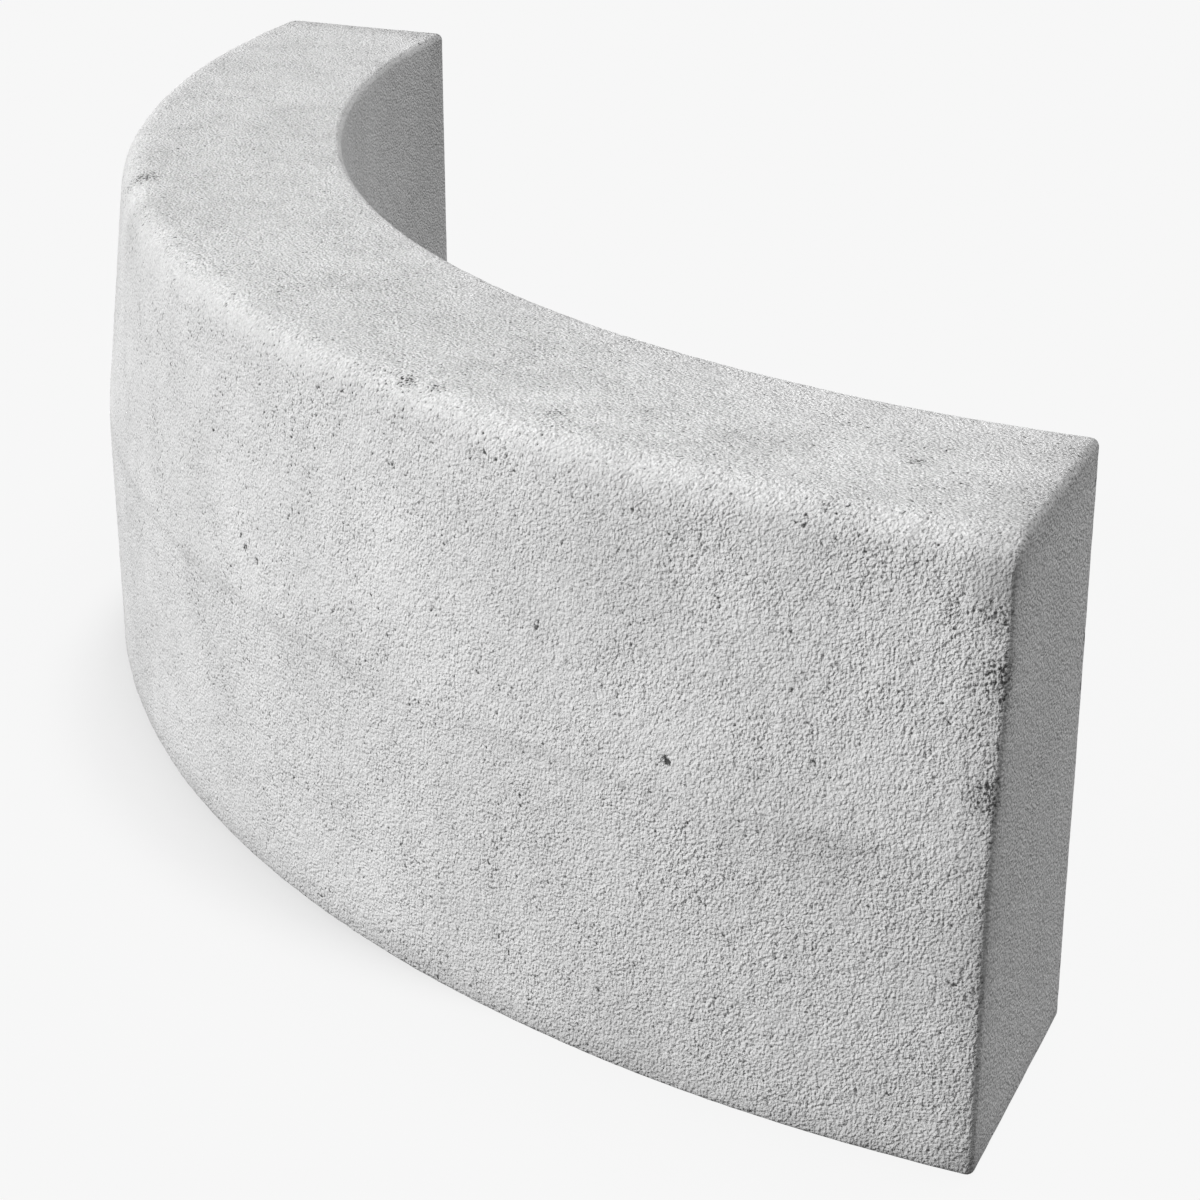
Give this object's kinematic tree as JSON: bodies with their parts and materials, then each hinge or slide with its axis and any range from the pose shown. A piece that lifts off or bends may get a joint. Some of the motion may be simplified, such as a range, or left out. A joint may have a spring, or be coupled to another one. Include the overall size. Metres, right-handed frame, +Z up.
{
  "type": "concrete radius kerb stone",
  "caption": "Quarter-circle kerb stone of precast concrete: a convex road face, upright below and battered above, with a rounded top nose and plain butt ends.",
  "frame": {"origin": "bottom centre of the bounding box, on the bedding plane", "axes": "+Z up, +X along the chord between the butt ends, and the convex road face looks towards -Y. The axis of curvature is vertical, at X = 0, Y = +613.7 mm"},
  "size_m": [1.0992, 0.3326, 0.3],
  "materials": {
    "concrete": "pale grey cast concrete, fine sand grain, matt, with small blowholes"
  },
  "bodies": {
    "root": {"kerb_stone": "concrete"}
  },
  "joints": []
}
